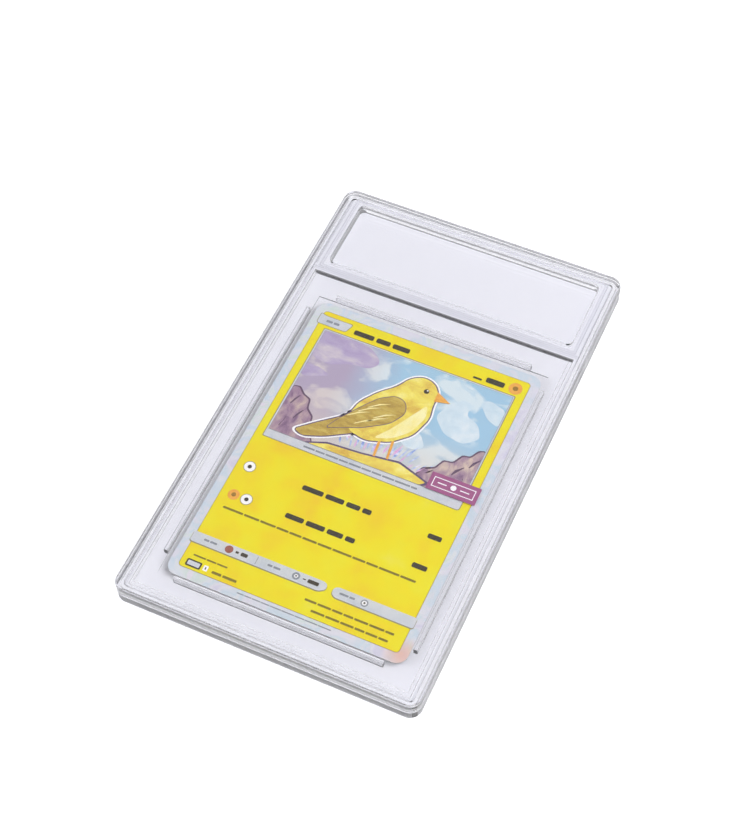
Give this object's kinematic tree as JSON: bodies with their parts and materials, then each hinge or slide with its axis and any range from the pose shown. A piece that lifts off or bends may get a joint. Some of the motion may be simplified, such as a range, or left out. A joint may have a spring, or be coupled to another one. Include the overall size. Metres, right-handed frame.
{
  "type": "graded card slab",
  "caption": "Clear two-shell plastic slab that presses together round a trading card, with a card window, an empty label pocket and a locating well.",
  "frame": {"origin": "centre of the slab's back face, which lies on the surface", "axes": "+Z out of the front face, +Y towards the label end, +X across the slab to the right as the card is read"},
  "size_m": [0.0796, 0.1342, 0.006],
  "materials": {
    "clear_shell": "clear injection-moulded polystyrene, polished faces",
    "card_front": "printed and varnished foil paper",
    "card_board": "white card board, cut edge",
    "card_back": "printed and varnished paper"
  },
  "bodies": {
    "base": {"back_shell": "clear_shell"},
    "cover": {"front_shell": "clear_shell"},
    "card": {"card_back_ply": "card_back", "card_core": "card_board", "card_front_ply": "card_front"}
  },
  "joints": [
    {"name": "cover_lift", "type": "slide", "parent": "base", "child": "cover", "axis": [0, 0, 1], "range_m": [0, 0.03]},
    {"name": "card_lift", "type": "slide", "parent": "base", "child": "card", "axis": [0, 0, 1], "range_m": [0, 0.015]}
  ],
  "couplings": [
    {"joint": "card_lift", "follows": "cover_lift", "ratio": 0.5}
  ]
}
